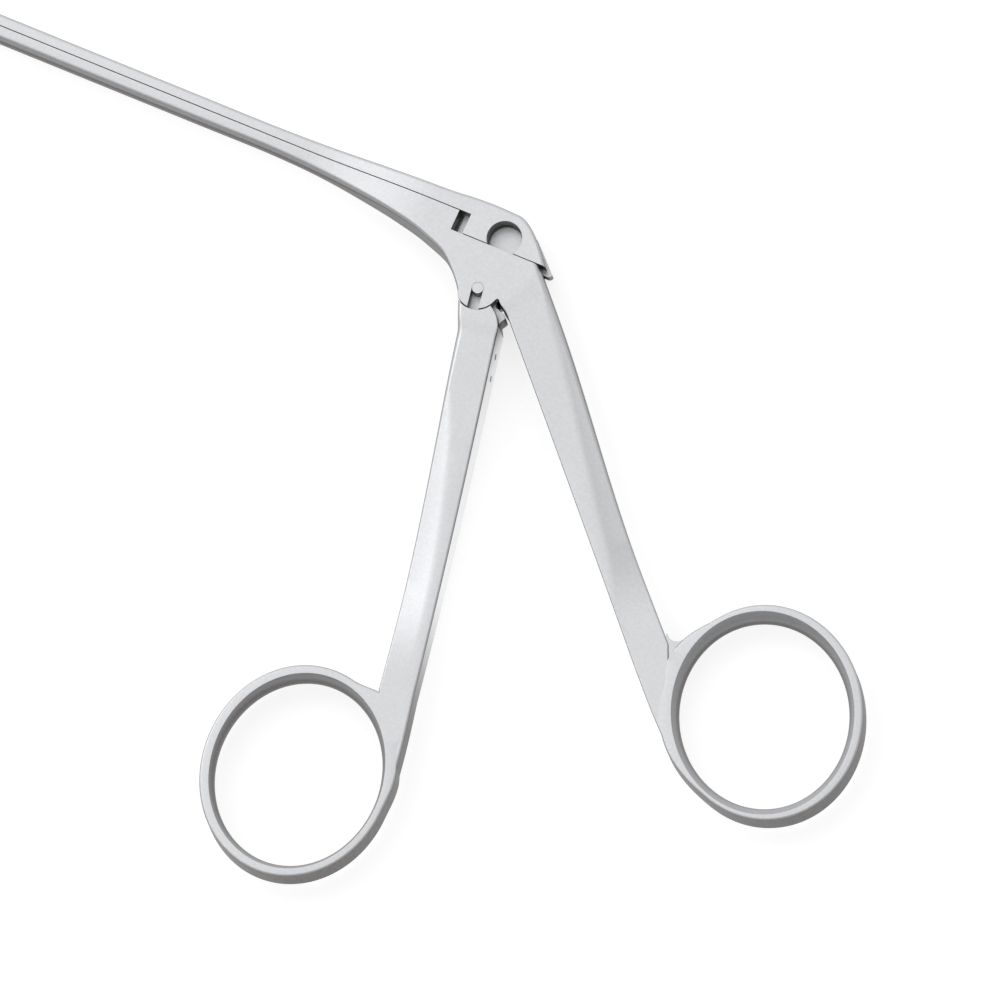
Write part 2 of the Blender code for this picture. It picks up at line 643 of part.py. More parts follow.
def front_handle_sections():
    """Stations from the shoulder's two horns down the front handle."""
    shoulder = [((-1.78 * MM, -2.3 * MM), (2.4 * MM, -1.42 * MM)),
                ((-1.55 * MM, -2.8 * MM), (3.1 * MM, -1.85 * MM)),
                ((-1.3 * MM, -3.4 * MM), (3.8 * MM, -2.5 * MM)),
                ((-0.98 * MM, -4.15 * MM), (4.38 * MM, -3.38 * MM))]
    edges = ((0.5 * MM, 0.5 * MM), (INNER_ROUND, INNER_ROUND))
    sections = [section(outer, inner, FULL_HALF, 0.0, *edges) for outer, inner in shoulder]
    places = [6.0 * MM, 8.5 * MM, *np.linspace(12.0 * MM, FRONT_LENGTH, 9)]
    places += [FRONT_LENGTH + FRONT_RING_PAST * share for share in RING_SHARES]
    widths = (FRONT_TOP_WIDTH, FRONT_MID_WIDTH, FRONT_END_WIDTH)
    facets = ((0.0, 0.2, 0.4, 0.7, 1.0), (0.1, 0.12, 0.38, 0.67, 0.7))
    handle = handle_sections(FRONT_ANGLE, FRONT_INNER, FRONT_DRAW_IN, widths, FRONT_LENGTH, -1,
                             facets, places)
    return sections + handle


def tongue_outline():
    """Round tongue about the pivot, with its leg down into the handle and its heel in the crotch."""
    heel = arc_points((0.0, 0.0), HEEL_REACH, -33, -24, 2)
    leg = [(-1.0 * MM, -3.6 * MM), (-0.4 * MM, -5.4 * MM), (4.1 * MM, -4.9 * MM)]
    crotch = [(4.3 * MM, -1.68 * MM), (2.85 * MM, -1.13 * MM)]
    return arc_points((0.0, 0.0), TONGUE_RADIUS, 0, 222, 16) + leg + heel + crotch


def neck_outline():
    """Straight neck from the tongue up to the knuckle."""
    up = np.array(KNUCKLE)
    across = np.array((KNUCKLE[1], -KNUCKLE[0])) / math.hypot(*KNUCKLE) * NECK_WIDTH / 2
    foot = 0.12 * up
    return [foot - across, foot + across, up + across, up - across]


def build_front_handle():
    """Shoulder, handle and ring, with the tongue, neck and knuckle milled on top."""
    handle = loft("handle", front_handle_sections())
    reach = (FRONT_RING_LONG, FRONT_RING_SHORT)
    edge = FRONT_INNER - FRONT_DRAW_IN
    flare = ring_flare(FRONT_ANGLE, edge, FRONT_RING_ASIDE, FRONT_RING_ANGLE, reach, 1)
    centre = along(FRONT_ANGLE, FRONT_LENGTH + FRONT_RING_PAST, FRONT_RING_ASIDE)
    front_ring = ring("front_ring", centre, FRONT_RING_ANGLE, reach, FRONT_RING_BAND, FRONT_RING_BULGE,
                      FRONT_RING_SHIFT, 1, flare, FRONT_RING_JOIN, FRONT_NOTCH_FILL)
    combine(handle, 'UNION', [front_ring])
    through = (-TRIM, BLOCK_THICK + TRIM)
    combine(handle, 'DIFFERENCE', [drum("cut_shoulder", (0.0, 0.0), BOSS_RADIUS + RUN_GAP, through, 64)])
    combine(handle, 'UNION', [
        plate("tongue", tongue_outline(), mid(TONGUE_THICK)),
        plate("neck", neck_outline(), mid(WEB_THICK)),
        drum("knuckle", KNUCKLE, WINDOW_RADIUS - RUN_GAP, mid(WEB_THICK), 48),
    ])
    combine(handle, 'DIFFERENCE', [drum("cut_bore", (0.0, 0.0), PIN_RADIUS + PIN_GAP, through, 24)])
    finish(handle, "front_handle", (0.64, 0.65, 0.67))


# Upper jaw

def build_upper_jaw():
    """Cup jaw, drawn shut over the fixed jaw and then turned open about its pin."""
    hidden = (INNER_ROUND, INNER_ROUND)
    sections = []
    for x in [*jaw_places(), JAW_ROOT_X]:
        share = jaw_share(x)
        half = SHAFT_WIDTH / 2 * share
        rounding = (0.9 * CUP_DEPTH * share, 0.85 * half)
        top = (x, JAW_LINE_Y + CUP_DEPTH * share)
        sections.append(section(top, (x, JAW_LINE_Y - TRIM), half, 0.0, rounding, hidden))
    jaw = loft("jaw", sections)
    through = (-TRIM, BLOCK_THICK + TRIM)
    below = (0.0, JAW_LINE_Y + JAW_GAP / 2)
    combine(jaw, 'DIFFERENCE', [box("cut_line", (-FAR, FAR), below, through), bowl("cut_upper_cup")])
    shut_link = (JAW_PIVOT_X - STROKE / 2, JAW_PIVOT[1] + JAW_ARM * math.cos(JAW_OPEN / 2))
    root = (JAW_ROOT_X - 0.1 * MM, JAW_LINE_Y + CUP_DEPTH / 2)
    heel = hull([(JAW_PIVOT, HEEL_RADIUS), (shut_link, HEEL_RADIUS), (root, 0.5 * MM)])
    combine(jaw, 'UNION', [plate("heel", heel, mid(HEEL_THICK))])
    combine(jaw, 'DIFFERENCE', [
        drum("cut_pivot", JAW_PIVOT, JAW_PIN_RADIUS + RUN_GAP, through, 20),
        drum("cut_link", shut_link, LINK_PIN_RADIUS + RUN_GAP, through, 20),
    ])
    finish(jaw, "upper_jaw", (0.64, 0.65, 0.67), origin=JAW_PIVOT, turn=-JAW_OPEN)


# Pins

def build_pins():
    """Turned pins, each pressed in one piece and ending flush with the faces round it."""
    handle_pin = drum("handle_pin", (0.0, 0.0), PIN_RADIUS, (0.0, BLOCK_THICK), 24)
    finish(handle_pin, "handle_pivot_pin", (0.66, 0.67, 0.69), 0.35)
    jaw_pin = drum("jaw_pin", JAW_PIVOT, JAW_PIN_RADIUS, mid(SHAFT_WIDTH), 16)
    finish(jaw_pin, "jaw_pivot_pin", (0.66, 0.67, 0.69), 0.35, origin=JAW_PIVOT)
    link_pin = drum("link_pin", LINK, LINK_PIN_RADIUS, mid(SHAFT_WIDTH), 16)
    finish(link_pin, "jaw_link_pin", (0.66, 0.67, 0.69), 0.35, origin=LINK)


clear_scene()
parts = new_collection("specimen_forceps")
cutters = new_collection("cutters")
datum = bpy.data.objects.new("datum", None)
datum.location = (0.0, -PIVOT_DROP, 0.0)
parts.objects.link(datum)
build_body()
build_slider()
build_front_handle()
build_upper_jaw()
build_pins()
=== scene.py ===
"""Looks of the ring-handled specimen forceps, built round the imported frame.

The plan of each piece is drawn in millimetres from the handle pivot: +X runs back along the shaft,
away from the jaws, and +Y runs away from the handles.  Heights are measured from the middle of the
thickness.
"""
import json
import math

import bmesh
import bpy
import numpy as np
from mathutils import Matrix
from mathutils.geometry import convex_hull_2d


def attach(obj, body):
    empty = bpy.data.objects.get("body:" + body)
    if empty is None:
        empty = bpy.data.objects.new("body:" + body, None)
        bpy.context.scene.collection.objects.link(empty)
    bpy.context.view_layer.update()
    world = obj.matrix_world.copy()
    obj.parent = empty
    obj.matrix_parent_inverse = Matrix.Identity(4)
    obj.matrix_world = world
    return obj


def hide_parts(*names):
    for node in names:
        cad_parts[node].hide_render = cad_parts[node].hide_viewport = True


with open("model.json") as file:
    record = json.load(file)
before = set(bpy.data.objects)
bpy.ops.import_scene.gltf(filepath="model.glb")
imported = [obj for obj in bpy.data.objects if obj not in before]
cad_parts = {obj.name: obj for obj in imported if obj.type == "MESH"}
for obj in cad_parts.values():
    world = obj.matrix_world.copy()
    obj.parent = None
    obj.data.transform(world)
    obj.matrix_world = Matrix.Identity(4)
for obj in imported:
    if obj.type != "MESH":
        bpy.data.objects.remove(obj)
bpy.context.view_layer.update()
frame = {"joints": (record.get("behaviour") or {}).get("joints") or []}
hinges = {joint["name"]: joint for joint in frame["joints"]}

# View: parallel, from above and a little from the front right, as in the photograph.  The shaft
# runs out of the picture at the upper left, and both finger rings hang below the joint block.
VIEW_WIDTH = 0.1274
VIEW_MIDDLE = np.array((0.0142, -0.0279, 0.006))
VIEW_RIGHT = np.array((0.9030, 0.4080, -0.1158))
VIEW_UP = np.array((-0.3670, 0.8882, 0.2681))
VIEW_STAND_OFF = 0.5

right = VIEW_RIGHT / np.linalg.norm(VIEW_RIGHT)
back = np.cross(right, VIEW_UP)
back = back / np.linalg.norm(back)
pose = np.eye(4)
pose[:3, 0] = right
pose[:3, 1] = np.cross(back, right)
pose[:3, 2] = back
pose[:3, 3] = VIEW_MIDDLE + VIEW_STAND_OFF * back
camera = bpy.data.cameras.new("view")
camera.type = 'ORTHO'
camera.ortho_scale = VIEW_WIDTH
camera.clip_start = 0.001
viewer = bpy.data.objects.new("view", camera)
viewer.matrix_world = Matrix(pose.tolist())
bpy.context.scene.collection.objects.link(viewer)
bpy.context.scene.camera = viewer
bpy.context.scene.view_settings.view_transform = 'Standard'

# Floor and light: a plain pale floor under the instrument, a wide soft box overhead that leans to
# the left, a smaller one low on the left, and a plain surround that is dim on the near right.
FLOOR_SIZE = 4.0
FLOOR_DROP = 0.00002
FLOOR_COLOUR = (0.45, 0.45, 0.45, 1.0)
FLOOR_LIFT = 0.74
OVERHEAD_PLACE = (-0.40, 0.10, 0.95)
OVERHEAD_SIZE = 1.2
OVERHEAD_RADIANCE = 0.50
LEFT_PLACE = (-0.75, 0.10, 0.75)
LEFT_SIZE = 0.5
LEFT_RADIANCE = 1.45
DIM_SIDE = (0.46, -0.89, 0.0)
SURROUND_SPAN = 0.9
SURROUND_BRIGHT = 0.85
SURROUND_DIM = 0.38

floor_mesh = bpy.data.meshes.new("floor")
side = FLOOR_SIZE / 2
corners = [(-side, -side, -FLOOR_DROP), (side, -side, -FLOOR_DROP), (side, side, -FLOOR_DROP),
           (-side, side, -FLOOR_DROP)]
floor_mesh.from_pydata(corners, [], [(0, 1, 2, 3)])
floor = bpy.data.objects.new("floor", floor_mesh)
bpy.context.scene.collection.objects.link(floor)


def pale_backdrop(tree, base, output, lift):
    """Adds a plain glow to a surface where it is seen straight, in a mirror or through glass."""
    path = tree.nodes.new("ShaderNodeLightPath")
    seen = path.outputs["Is Camera Ray"]
    for name in ("Is Glossy Ray", "Is Transmission Ray"):
        either = tree.nodes.new("ShaderNodeMath")
        either.operation = 'MAXIMUM'
        tree.links.new(seen, either.inputs[0])
        tree.links.new(path.outputs[name], either.inputs[1])
        seen = either.outputs[0]
    strength = tree.nodes.new("ShaderNodeMath")
    strength.operation = 'MULTIPLY'
    strength.inputs[1].default_value = lift
    tree.links.new(seen, strength.inputs[0])
    glow = tree.nodes.new("ShaderNodeEmission")
    tree.links.new(strength.outputs[0], glow.inputs["Strength"])
    both = tree.nodes.new("ShaderNodeAddShader")
    tree.links.new(base, both.inputs[0])
    tree.links.new(glow.outputs[0], both.inputs[1])
    tree.links.new(both.outputs[0], output)


paper = bpy.data.materials.new("pale_floor")
paper.use_nodes = True
tree = paper.node_tree
tree.nodes.remove(tree.nodes["Principled BSDF"])
matt = tree.nodes.new("ShaderNodeBsdfDiffuse")
matt.inputs["Color"].default_value = FLOOR_COLOUR
pale_backdrop(tree, matt.outputs[0], tree.nodes["Material Output"].inputs["Surface"], FLOOR_LIFT)
floor_mesh.materials.append(paper)


def soft_box(name, place, size, radiance):
    """Square area light that faces the joint block; its power is pi times its area and radiance."""
    lamp = bpy.data.lights.new(name, 'AREA')
    lamp.shape = 'SQUARE'
    lamp.size = size
    lamp.energy = math.pi * size * size * radiance
    holder = bpy.data.objects.new(name, lamp)
    holder.location = place
    aim = np.array(place)
    aim = aim / np.linalg.norm(aim)
    across = np.cross((0.0, 1.0, 0.0), aim)
    across = across / np.linalg.norm(across)
    turn = np.column_stack((across, np.cross(aim, across), aim))
    holder.rotation_euler = Matrix(turn.tolist()).to_euler()
    bpy.context.scene.collection.objects.link(holder)


soft_box("overhead_box", OVERHEAD_PLACE, OVERHEAD_SIZE, OVERHEAD_RADIANCE)
soft_box("left_box", LEFT_PLACE, LEFT_SIZE, LEFT_RADIANCE)

world = bpy.data.worlds.new("surround")
world.use_nodes = True
bpy.context.scene.world = world
tree = world.node_tree
heading = tree.nodes.new("ShaderNodeTexCoord")
nearness = tree.nodes.new("ShaderNodeVectorMath")
nearness.operation = 'DOT_PRODUCT'
nearness.inputs[1].default_value = DIM_SIDE
tree.links.new(heading.outputs["Generated"], nearness.inputs[0])
fade = tree.nodes.new("ShaderNodeMapRange")
fade.interpolation_type = 'SMOOTHSTEP'
fade.inputs["From Min"].default_value = -SURROUND_SPAN
fade.inputs["From Max"].default_value = SURROUND_SPAN
fade.inputs["To Min"].default_value = SURROUND_BRIGHT
fade.inputs["To Max"].default_value = SURROUND_DIM
tree.links.new(nearness.outputs["Value"], fade.inputs["Value"])
tree.links.new(fade.outputs["Result"], tree.nodes["Background"].inputs["Strength"])
tree.nodes["Background"].inputs["Color"].default_value = (1.0, 1.0, 1.0, 1.0)

# Fixed body: one stainless forging, with the lower shaft bar and its cup jaw, the joint block, the
# rear handle and the rear finger ring.  Slots and pockets are milled into it, and the whole is
# bead-blasted.
MM = 0.001
MID_Z = 3.0
PIVOT = np.array(hinges["handle_hinge"]["pos_m"]) - (0.0, 0.0, MID_Z * MM)
BLOCK_HALF = 3.0
SHAFT_HALF = 1.6
RING_HALF = 2.0
SEAM = 8.53
SEAM_GAP = 0.1
SEAT = SEAM - 2.73
BAR_BOTTOM = SEAM - 1.86
BAR_TOP = SEAM + 1.45
BLOCK_TOP = SEAM + 2.4
RAIL_BOTTOM = SEAT - 0.65
TRIM = 1.0
FAR = 300.0
RUN_GAP = 0.2
STEP_X = -6.4
FLARE_START = -33.0
FLARE_END = -8.6
FLARE_DEPTH = 3.12
WIDEN_START = -28.0
WIDEN_END = -10.0
JAW_PIVOT = (np.array(hinges["jaw_hinge"]["pos_m"]) - PIVOT)[:2] / MM
JAW_REACH = 10.19
JAW_TIP = JAW_PIVOT[0] - JAW_REACH
JAW_ROOT = JAW_PIVOT[0] - 3.0
JAW_LINE = SEAM - 0.18
JAW_TAPER = 5.2
TIP_INSET = 0.09
TIP_ROWS = 28
CUP_DEPTH = JAW_LINE - BAR_BOTTOM
CUP_WALL = 0.45
BOSS_RADIUS = 2.78
TONGUE_RADIUS = 2.55
HEEL_REACH = 5.05
HEEL_HALF = 0.6
WEB_HALF = 0.75
TONGUE_HALF = 1.5
KNUCKLE = np.array((0.46, SEAM - 1.26))
STROKE = 1.3325
NECK_WIDTH = 2.4
PIN_SLOT = 0.75
SLOT_LEAN = math.radians(10.0)
REAR_ANGLE = math.radians(-46.4)
REAR_INNER = 2.3
REAR_LENGTH = 53.0
REAR_PAST = 13.03
FACET_SLOPE = math.tan(math.radians(12.0))

# Roundings: how far each takes the edge in, in the plan or in height.
SMALL_ROUND = 0.2
OUTER_ROUND = 0.75
THROAT_ROUND = 0.55
BOSS_ROUND = 0.12
BAR_ROUND = (0.85, 1.3)
FLARE_ROUND_LESS = (0.3, 0.75)
CUP_ROUND = 0.9
CUP_SIDE_ROUND = 0.85
RING_ROUND = 0.3
COVERED_ROUND_LESS = 0.28

# Where a handle meets its ring: shares, lengths, and degrees round the ring.
SINK_SHARE = 0.97
SINK_TAPER = 0.33
SINK_DRAW = 0.4
FACET_FADE = (14.0, 1.5)
EASE_FROM = 0.8
EASE_OVER = 0.2
FACE_STEP = 0.006
SWELL_END = (95, 135)
NOTCH_RISE = (110, 128)
NOTCH_FALL = (128, 160)
COVER_LEAD = (4, 6)
COVER_END = (128, 134)

# Steel: colours, noise scales in cycles per metre, and lengths in metres.
BODY_FACE = (0.61, 0.62, 0.635)
# Painted shade: the side walls' colour, far darker than the steel of the faces.
BODY_WALL_PAINTED_SHADE = (0.135, 0.128, 0.126)
# Painted highlight: near-white colour for one side wall of the front handle.
PAINTED_HIGHLIGHT_COLOUR = (0.93, 0.93, 0.94)
# Normal leans over which the walls' painted shade gives way to the face colour.
WALL_LEAN = 0.25
FACE_LEAN = 0.9
LINE_SCALE = (8000.0, 8000.0, 600.0)
LINE_DARK = 0.55
LINE_LIGHT = 1.45
CLOUD_SCALE = 2600.0
CLOUD_CONTRAST = 0.1
DRIFT_SCALE = 90.0
ROUGHNESS_LEAST = 0.36
ROUGHNESS_MOST = 0.46
SPECK_SCALE = 5200.0
SPECK_STRENGTH = 0.35
SPECK_DEPTH = 0.00003
EDGE_RADIUS = 0.00007
EDGE_SAMPLES = 6
SHARP_ANGLE = math.radians(32.0)


def ramp(x, start, end):
    """Smooth step: 0 before start, 1 after end, and t * t * (3 - 2 * t) between them."""
    t = np.clip((np.asarray(x, float) - start) / (end - start), 0.0, 1.0)
    return t * t * (3 - 2 * t)


def through(x, knots, values):
    """Values at x on cubics through the knots.

    The slope at a knot is the weighted mean of the straight slopes on its two sides.
    """
    knots = np.asarray(knots, float)
    values = np.asarray(values, float)
    slopes = np.gradient(values, knots, axis=0)
    i = np.clip(np.searchsorted(knots, x, side="right") - 1, 0, len(knots) - 2)
    width = knots[i + 1] - knots[i]
    t = np.clip((x - knots[i]) / width, 0.0, 1.0)
    if values.ndim == 2:
        t = t[:, None]
        width = width[:, None]
    rise = values[i] * (1 + 2 * t) * (1 - t) ** 2 + values[i + 1] * t * t * (3 - 2 * t)
    turn = slopes[i] * t * (1 - t) ** 2 + slopes[i + 1] * t * t * (t - 1)
    return rise + width * turn


def along(angle, distance, offset):
    """Plan points at a distance down a line from the pivot and an offset square to it."""
    distance = np.asarray(distance, float)
    offset = np.asarray(offset, float)
    x = distance * math.cos(angle) - offset * math.sin(angle)
    y = distance * math.sin(angle) + offset * math.cos(angle)
    return np.stack(np.broadcast_arrays(x, y), axis=-1)


def arc(centre, radius, start, end, count):
    """Plan points on an arc: the centre plus radius times the cosine and sine of each turn."""
    turn = np.radians(np.linspace(start, end, count))
    return np.stack((centre[0] + radius * np.cos(turn), centre[1] + radius * np.sin(turn)), axis=-1)


def stations(outer, inner, *values):
    """Table of sections: both ends in the plan, then half the thickness, the facet's width and
    slope, and the reach in the plan and in height of the rounding at each end."""
    outer = np.atleast_2d(outer)
    inner = np.atleast_2d(inner)
    columns = [outer[:, 0], outer[:, 1], inner[:, 0], inner[:, 1], *values]
    return np.stack(np.broadcast_arrays(*columns), axis=1)


def refine(table, step=0.3, most=14):
    """Closer stations on the curve through a table's rows, spaced by how far their ends move."""
    outer_move = np.linalg.norm(np.diff(table[:, 0:2], axis=0), axis=1)
    inner_move = np.linalg.norm(np.diff(table[:, 2:4], axis=0), axis=1)
    travel = (outer_move + inner_move) / 2
    way = np.concatenate(([0.0], np.cumsum(travel)))
    counts = np.clip(np.ceil(travel / step), 1, most).astype(int)
    pieces = [np.linspace(way[i], way[i + 1], counts[i], endpoint=False)
              for i in range(len(travel))]
    return through(np.concatenate([*pieces, way[-1:]]), way, table)


def forged(table, turns=8, least_facet=0.2, least_flat=0.1, most_bend=0.45, bend_share=0.9):
    """Grid of a forged bar: a closed outline for each station.

    From the outer end each half of the outline rises on a quarter ellipse, climbs the facet, bends
    over its ridge on a parabola, runs flat and falls on a quarter ellipse at the inner end.
    """
    outer = table[:, 0:2]
    reach = table[:, 2:4] - outer
    length = np.linalg.norm(reach, axis=1)[:, None]
    half, facet, slope, out_u, out_z, in_u, in_z = (column[:, None] for column in table[:, 4:].T)
    half = np.minimum(half, BLOCK_HALF)
    ridge = np.minimum(np.maximum(facet, out_u + least_facet), length - in_u - least_flat)
    fall = slope * np.clip(np.minimum(facet, ridge) - out_u, 0.0, None) / (ridge - out_u)
    soft = np.minimum(most_bend, bend_share * np.minimum(ridge - out_u, length - in_u - ridge))
    turn = np.linspace(0.0, math.pi / 2, turns + 1)[None, :]
    bend = np.linspace(-1.0, 1.0, 5)[None, :]
    u = np.hstack((out_u * (1 - np.cos(turn)),
                   ridge + bend * soft,
                   length - in_u * (1 - np.sin(turn))))
    z = np.hstack((half - fall * (ridge - out_u) - out_z * (1 - np.sin(turn)),
                   half - fall * soft * (1 - bend) ** 2 / 4,
                   half - in_z * (1 - np.cos(turn))))
    u = np.hstack((u, u[:, ::-1]))
    z = np.hstack((z, -z[:, ::-1]))
    plan = outer[:, None, :] + u[..., None] * (reach / length)[:, None, :]
    return np.concatenate((plan, z[..., None]), axis=2)


def skin(name, grid, closed=False):
    """Closed mesh over a grid whose columns run round and whose rows run along.

    Corner (i, j) is joined to (i, j + 1), (i + 1, j + 1) and (i + 1, j).  A closed grid's last row
    meets its first; any other grid gets a flat cap at each end.
    """
    rows, columns = grid.shape[:2]
    i = np.arange(rows if closed else rows - 1)[:, None]
    j = np.arange(columns)[None, :]
    after = (j + 1) % columns
    above = (i + 1) % rows
    around = (i * columns + j, i * columns + after, above * columns + after, above * columns + j)
    faces = np.stack(around, axis=-1).reshape(-1, 4).tolist()
    if not closed:
        faces.append(list(range(columns)))
        faces.append(list(range((rows - 1) * columns, rows * columns)))
    mesh = bpy.data.meshes.new(name)
    points = grid.reshape(-1, 3) * MM + (PIVOT[0], PIVOT[1], MID_Z * MM)
    mesh.from_pydata(points.tolist(), [], faces)
    work = bmesh.new()
    work.from_mesh(mesh)
    bmesh.ops.recalc_face_normals(work, faces=work.faces)
    work.to_mesh(mesh)
    work.free()
    piece = bpy.data.objects.new(name, mesh)
    bpy.context.scene.collection.objects.link(piece)
    return piece


def prism(name, outline, low, high):
    """Flat outline in the plan, made solid between two heights."""
    outline = np.asarray(outline, float)
    levels = [np.column_stack((outline, np.full(len(outline), z))) for z in (low, high)]
    return skin(name, np.stack(levels))


def slab(name, x_span, y_span, half):
    """Block with square corners, centred in the thickness."""
    corners = [(x_span[0], y_span[0]), (x_span[1], y_span[0]),
               (x_span[1], y_span[1]), (x_span[0], y_span[1])]
    return prism(name, corners, -half, half)


def drum(name, centre, radius, half, count=96):
    """Upright cylinder, centred in the thickness."""
    return prism(name, arc(centre, radius, 0, 360 * (count - 1) / count, count), -half, half)


def egg(name, centre, radii, rows=40, columns=64, pole=0.02):
    """Egg shape: its radii times the cosine and sine of the turns about and along the X axis."""
    down = np.linspace(pole, math.pi - pole, rows)[:, None]
    round_turn = np.linspace(0.0, 2 * math.pi, columns, endpoint=False)[None, :]
    x = centre[0] - radii[0] * np.cos(down) + 0 * round_turn
    y = centre[1] + radii[1] * np.sin(down) * np.cos(round_turn)
    z = radii[2] * np.sin(down) * np.sin(round_turn)
    return skin(name, np.stack((x, y, z), axis=-1))


def combine(base, operation, tools):
    """Joins the tools to the base, or cuts them from it, and leaves one mesh."""
    for tool in tools:
        change = base.modifiers.new(tool.name, 'BOOLEAN')
        change.operation = operation
        change.object = tool
    bpy.context.view_layer.update()
    graph = bpy.context.evaluated_depsgraph_get()
    mesh = bpy.data.meshes.new_from_object(base.evaluated_get(graph))
    base.modifiers.clear()
    base.data = mesh
    for tool in tools:
        bpy.data.objects.remove(tool, do_unlink=True)
    return base


def cut(base, tools):
    """Cuts all the tools from the base in one go, after joining them."""
    combine(tools[0], 'UNION', tools[1:])
    return combine(base, 'DIFFERENCE', tools[:1])


def noise(tree, vector, scale, detail):
    """Strength of a noise texture at a place."""
    texture = tree.nodes.new("ShaderNodeTexNoise")
    texture.inputs["Scale"].default_value = scale
    texture.inputs["Detail"].default_value = detail
    tree.links.new(vector, texture.inputs["Vector"])
    return texture.outputs["Fac"]


def mixed(tree, share, first, second):
    """Colour (1 - share) * first + share * second, from plain colours or other nodes' outputs."""
    mix = tree.nodes.new("ShaderNodeMix")
    mix.data_type = 'RGBA'
    tree.links.new(share, mix.inputs["Factor"])
    for socket, colour in (("A", first), ("B", second)):
        if isinstance(colour, tuple):
            mix.inputs[socket].default_value = (*colour, 1.0)
        else:
            tree.links.new(colour, mix.inputs[socket])
    return mix.outputs["Result"]


def scaled(colour, times):
    """Colour with each part multiplied."""
    return tuple(times * part for part in colour)


def satin_steel(name, face, wall, grain=1.0):
    """Bead-blasted stainless steel.

    The side walls carry painted shade: a colour far darker than the broad faces, with fine grinding
    lines through the thickness.  The mix follows how far the surface's own normal leans from the
    thickness.  A side with the marking attribute gets a painted highlight, a near-white colour.  A
    fine noise gives the grain, and a wide one drifts the roughness.
    """
    steel = bpy.data.materials.new(name)
    steel.use_nodes = True
    tree = steel.node_tree
    shader = tree.nodes["Principled BSDF"]
    shader.inputs["Metallic"].default_value = 1.0
    place = tree.nodes.new("ShaderNodeTexCoord")
    split = tree.nodes.new("ShaderNodeSeparateXYZ")
    tree.links.new(place.outputs["Normal"], split.inputs[0])
    lean = tree.nodes.new("ShaderNodeMath")
    lean.operation = 'ABSOLUTE'
    tree.links.new(split.outputs["Z"], lean.inputs[0])
    # Share of face colour; where it is low, the walls' painted shade shows.
    flat = tree.nodes.new("ShaderNodeMapRange")
    flat.interpolation_type = 'SMOOTHSTEP'
    flat.inputs["From Min"].default_value = WALL_LEAN
    flat.inputs["From Max"].default_value = FACE_LEAN
    tree.links.new(lean.outputs[0], flat.inputs["Value"])
    stretch = tree.nodes.new("ShaderNodeMapping")
    stretch.inputs["Scale"].default_value = LINE_SCALE
    tree.links.new(place.outputs["Object"], stretch.inputs["Vector"])
    lines = noise(tree, stretch.outputs[0], 1.0, 2.0)
    # Painted shade: the dark wall colour, with grinding lines through it.
    lined = mixed(tree, lines, scaled(wall, LINE_DARK), scaled(wall, LINE_LIGHT))
    mark = tree.nodes.new("ShaderNodeAttribute")
    mark.attribute_name = "painted_highlight"
    # Painted highlight where the marking attribute is set.
    sides = mixed(tree, mark.outputs["Fac"], lined, PAINTED_HIGHLIGHT_COLOUR)
    cloud = noise(tree, place.outputs["Object"], CLOUD_SCALE, 3.0)
    contrast = CLOUD_CONTRAST * grain
    blasted = mixed(tree, cloud, scaled(face, 1 - contrast), scaled(face, 1 + contrast))
    colour = mixed(tree, flat.outputs["Result"], sides, blasted)
    tree.links.new(colour, shader.inputs["Base Color"])
    rough = tree.nodes.new("ShaderNodeMapRange")
    rough.inputs["To Min"].default_value = ROUGHNESS_LEAST
    rough.inputs["To Max"].default_value = ROUGHNESS_MOST
    drift = noise(tree, place.outputs["Object"], DRIFT_SCALE, 3.0)
    tree.links.new(drift, rough.inputs["Value"])
    tree.links.new(rough.outputs["Result"], shader.inputs["Roughness"])
    edge = tree.nodes.new("ShaderNodeBevel")
    edge.samples = EDGE_SAMPLES
    edge.inputs["Radius"].default_value = EDGE_RADIUS
    bump = tree.nodes.new("ShaderNodeBump")
    bump.inputs["Strength"].default_value = SPECK_STRENGTH * grain
    bump.inputs["Distance"].default_value = SPECK_DEPTH
    speck = noise(tree, place.outputs["Object"], SPECK_SCALE, 2.0)
    tree.links.new(speck, bump.inputs["Height"])
    tree.links.new(edge.outputs[0], bump.inputs["Normal"])
    tree.links.new(bump.outputs[0], shader.inputs["Normal"])
    return steel


def finish(piece, steel, body, slot, *nodes):
    """Shades a piece in its steel, hangs it on its body's empty and hides the CAD nodes it stands
    for.
    """
    piece.data.materials.clear()
    piece.data.materials.append(steel)
    piece.data.shade_smooth()
    piece.data.set_sharp_from_angle(angle=SHARP_ANGLE)
    weigh = piece.modifiers.new("even_faces", 'WEIGHTED_NORMAL')
    weigh.keep_sharp = True
    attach(piece, body)
    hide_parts(*nodes)


def shaft_half(x):
    """Half of the shaft's width: slim along the bars, full at the joint block."""
    return SHAFT_HALF + (BLOCK_HALF - SHAFT_HALF) * ramp(x, WIDEN_START, WIDEN_END)


def jaw_share(x):
    """Share of the jaw's full section: 1 behind its taper, and an ellipse's arc down to its tip."""
    t = np.clip((JAW_TIP + JAW_TAPER - x) / JAW_TAPER, 0.0, 1.0)
    return np.sqrt(1 - t * t)


def tip_places():
    """Places back along a jaw's taper: even steps, squared, so that they lie close at the tip."""
    return JAW_TIP + TIP_INSET + np.linspace(0.0, 1.0, TIP_ROWS) ** 2 * (JAW_TAPER - TIP_INSET)


